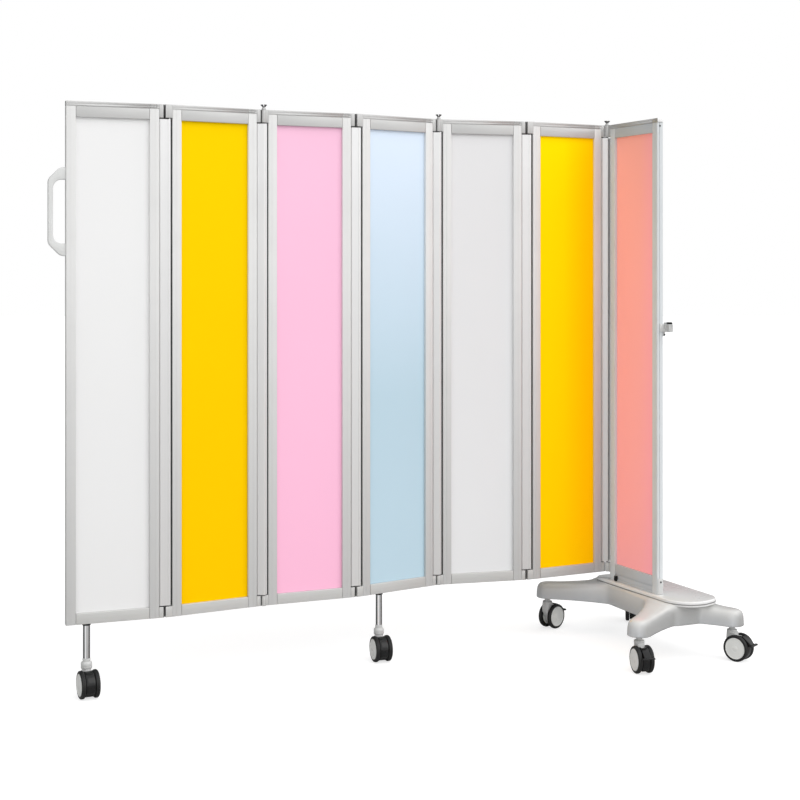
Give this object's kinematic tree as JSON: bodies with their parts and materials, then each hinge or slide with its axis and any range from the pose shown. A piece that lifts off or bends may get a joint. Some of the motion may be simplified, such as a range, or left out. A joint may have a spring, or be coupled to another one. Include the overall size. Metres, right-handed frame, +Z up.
{
  "type": "folding ward screen on casters",
  "caption": "Folding ward privacy screen: tall framed panels hinged in a zigzag on a castered trolley base and castered legs, with a pull handle and an edge latch.",
  "frame": {"origin": "middle of the part's footprint box, on the floor", "axes": "+Z up; +X along the unfolded row of panels, from the free end to the trolley; +Y away from the side that the picture shows"},
  "size_m": [2.0526, 0.9972, 1.664],
  "materials": {
    "frame_aluminium": "satin anodised extrusion, fine lengthwise grain",
    "cap_aluminium": "satin anodised",
    "hinge_aluminium": "satin anodised",
    "rod_steel": "bright zinc plated",
    "chromed_tube": "polished chrome plating",
    "infill_white": "satin translucent sheet",
    "infill_yellow": "satin translucent sheet",
    "infill_pink": "satin translucent sheet",
    "infill_blue": "satin translucent sheet",
    "infill_grey_white": "satin translucent sheet",
    "infill_amber": "satin translucent sheet",
    "infill_salmon": "satin translucent sheet",
    "handle_plastic": "moulded, light grey, fine texture",
    "base_plastic": "moulded, light grey, soft gloss",
    "caster_grey": "moulded, grey",
    "caster_black": "moulded, black",
    "tyre_rubber": "dark grey, matt"
  },
  "bodies": {
    "trolley": {"trolley_chassis": "base_plastic", "trolley_deck": "base_plastic", "panel_7_foot_rail": "cap_aluminium", "panel_7_frame": "frame_aluminium", "panel_7_infill": "infill_salmon", "panel_7_top_cap": "cap_aluminium", "hinge_rod_6": "rod_steel", "latch_bracket": "caster_grey"},
    "panel_6": {"panel_6_frame": "frame_aluminium", "panel_6_infill": "infill_amber", "panel_6_top_cap": "cap_aluminium", "gap_strip_6": "hinge_aluminium", "hinge_rod_5": "rod_steel"},
    "panel_5": {"panel_5_frame": "frame_aluminium", "panel_5_infill": "infill_grey_white", "panel_5_top_cap": "cap_aluminium", "gap_strip_5": "hinge_aluminium", "hinge_rod_4": "rod_steel"},
    "panel_4": {"panel_4_frame": "frame_aluminium", "panel_4_infill": "infill_blue", "panel_4_top_cap": "cap_aluminium", "gap_strip_4": "hinge_aluminium", "hinge_rod_3": "rod_steel", "leg_4_tube": "chromed_tube", "leg_4_collar": "caster_grey"},
    "panel_3": {"panel_3_frame": "frame_aluminium", "panel_3_infill": "infill_pink", "panel_3_top_cap": "cap_aluminium", "gap_strip_3": "hinge_aluminium", "hinge_rod_2": "rod_steel"},
    "panel_2": {"panel_2_frame": "frame_aluminium", "panel_2_infill": "infill_yellow", "panel_2_top_cap": "cap_aluminium", "gap_strip_2": "hinge_aluminium", "hinge_rod_1": "rod_steel"},
    "panel_1": {"panel_1_frame": "frame_aluminium", "panel_1_infill": "infill_white", "panel_1_top_cap": "cap_aluminium", "gap_strip_1": "hinge_aluminium", "pull_handle": "handle_plastic", "leg_1_tube": "chromed_tube", "leg_1_collar": "caster_grey"},
    "leg_1_caster": {"leg_1_caster_hood": "caster_black"},
    "leg_1_wheel_pair": {"leg_1_wheels": "tyre_rubber"},
    "leg_4_caster": {"leg_4_caster_hood": "caster_black"},
    "leg_4_wheel_pair": {"leg_4_wheels": "tyre_rubber"},
    "near_left_caster": {"caster_near_left_fork": "caster_grey"},
    "near_left_wheel_pair": {"caster_near_left_wheels": "tyre_rubber"},
    "near_left_pedal": {"caster_near_left_brake_pedal": "caster_black"},
    "near_right_caster": {"caster_near_right_fork": "caster_grey"},
    "near_right_wheel_pair": {"caster_near_right_wheels": "tyre_rubber"},
    "near_right_pedal": {"caster_near_right_brake_pedal": "caster_black"},
    "far_left_caster": {"caster_far_left_fork": "caster_grey"},
    "far_left_wheel_pair": {"caster_far_left_wheels": "tyre_rubber"},
    "far_left_pedal": {"caster_far_left_brake_pedal": "caster_black"},
    "far_right_caster": {"caster_far_right_fork": "caster_grey"},
    "far_right_wheel_pair": {"caster_far_right_wheels": "tyre_rubber"},
    "far_right_pedal": {"caster_far_right_brake_pedal": "caster_black"},
    "catch": {"latch_catch": "caster_black"}
  },
  "joints": [
    {"name": "fold_6_7", "type": "hinge", "parent": "trolley", "child": "panel_6", "pos_m": [0.61728, 0.26628, 0.926], "axis": [0, 0, 1], "range_deg": [-90.6, 89.4]},
    {"name": "fold_5_6", "type": "hinge", "parent": "panel_6", "child": "panel_5", "pos_m": [0.34282, 0.15795, 0.926], "axis": [0, 0, -1], "range_deg": [-11.7, 156.3]},
    {"name": "fold_4_5", "type": "hinge", "parent": "panel_5", "child": "panel_4", "pos_m": [0.06479, 0.05917, 0.926], "axis": [0, 0, 1], "range_deg": [-19.7, 145.3]},
    {"name": "fold_3_4", "type": "hinge", "parent": "panel_4", "child": "panel_3", "pos_m": [-0.19192, -0.08631, 0.926], "axis": [0, 0, -1], "range_deg": [-11.4, 164.6]},
    {"name": "fold_2_3", "type": "hinge", "parent": "panel_3", "child": "panel_2", "pos_m": [-0.45277, -0.22419, 0.926], "axis": [0, 0, 1], "range_deg": [-5.9, 174.1]},
    {"name": "fold_1_2", "type": "hinge", "parent": "panel_2", "child": "panel_1", "pos_m": [-0.72224, -0.34439, 0.926], "axis": [0, 0, -1], "range_deg": [-8.3, 171.7]},
    {"name": "leg_1_swivel", "type": "hinge", "parent": "panel_1", "child": "leg_1_caster", "pos_m": [-0.92565, -0.4342, 0.092], "axis": [0, 0, 1], "continuous": true},
    {"name": "leg_1_roll", "type": "hinge", "parent": "leg_1_caster", "child": "leg_1_wheel_pair", "pos_m": [-0.91614, -0.45404, 0.0385], "axis": [0.9018, 0.4321, 0], "continuous": true},
    {"name": "leg_4_swivel", "type": "hinge", "parent": "panel_4", "child": "leg_4_caster", "pos_m": [-0.11967, -0.05199, 0.092], "axis": [0, 0, 1], "continuous": true},
    {"name": "leg_4_roll", "type": "hinge", "parent": "leg_4_caster", "child": "leg_4_wheel_pair", "pos_m": [-0.11236, -0.07274, 0.0385], "axis": [0.9432, 0.3322, 0], "continuous": true},
    {"name": "near_left_swivel", "type": "hinge", "parent": "trolley", "child": "near_left_caster", "pos_m": [0.64963, -0.17852, 0.115], "axis": [0, 0, 1], "continuous": true},
    {"name": "near_left_roll", "type": "hinge", "parent": "near_left_caster", "child": "near_left_wheel_pair", "pos_m": [0.65469, -0.19993, 0.04], "axis": [0.9732, 0.23, 0], "continuous": true},
    {"name": "near_left_brake", "type": "hinge", "parent": "near_left_caster", "child": "near_left_pedal", "pos_m": [0.65607, -0.20577, 0.07], "axis": [0.9732, 0.23, 0], "range_deg": [0, 12]},
    {"name": "near_right_swivel", "type": "hinge", "parent": "trolley", "child": "near_right_caster", "pos_m": [0.95271, -0.04799, 0.115], "axis": [0, 0, 1], "continuous": true},
    {"name": "near_right_roll", "type": "hinge", "parent": "near_right_caster", "child": "near_right_wheel_pair", "pos_m": [0.96939, -0.06233, 0.04], "axis": [0.6521, 0.7581, 0], "continuous": true},
    {"name": "near_right_brake", "type": "hinge", "parent": "near_right_caster", "child": "near_right_pedal", "pos_m": [0.97394, -0.06624, 0.07], "axis": [0.6521, 0.7581, 0], "range_deg": [0, 12]},
    {"name": "far_left_swivel", "type": "hinge", "parent": "trolley", "child": "far_left_caster", "pos_m": [0.4297, 0.33214, 0.115], "axis": [0, 0, 1], "continuous": true},
    {"name": "far_left_roll", "type": "hinge", "parent": "far_left_caster", "child": "far_left_wheel_pair", "pos_m": [0.44518, 0.34778, 0.04], "axis": [-0.7108, 0.7034, 0], "continuous": true},
    {"name": "far_left_brake", "type": "hinge", "parent": "far_left_caster", "child": "far_left_pedal", "pos_m": [0.4494, 0.35204, 0.07], "axis": [-0.7108, 0.7034, 0], "range_deg": [0, 12]},
    {"name": "far_right_swivel", "type": "hinge", "parent": "trolley", "child": "far_right_caster", "pos_m": [0.73279, 0.46267, 0.115], "axis": [0, 0, 1], "continuous": true},
    {"name": "far_right_roll", "type": "hinge", "parent": "far_right_caster", "child": "far_right_wheel_pair", "pos_m": [0.72908, 0.44099, 0.04], "axis": [0.9857, -0.1685, 0], "continuous": true},
    {"name": "far_right_brake", "type": "hinge", "parent": "far_right_caster", "child": "far_right_pedal", "pos_m": [0.72807, 0.43507, 0.07], "axis": [0.9857, -0.1685, 0], "range_deg": [0, 12]},
    {"name": "latch_turn", "type": "hinge", "parent": "trolley", "child": "catch", "pos_m": [0.77202, 0.02087, 1.017], "axis": [0, 0, -1], "range_deg": [0, 90]}
  ]
}
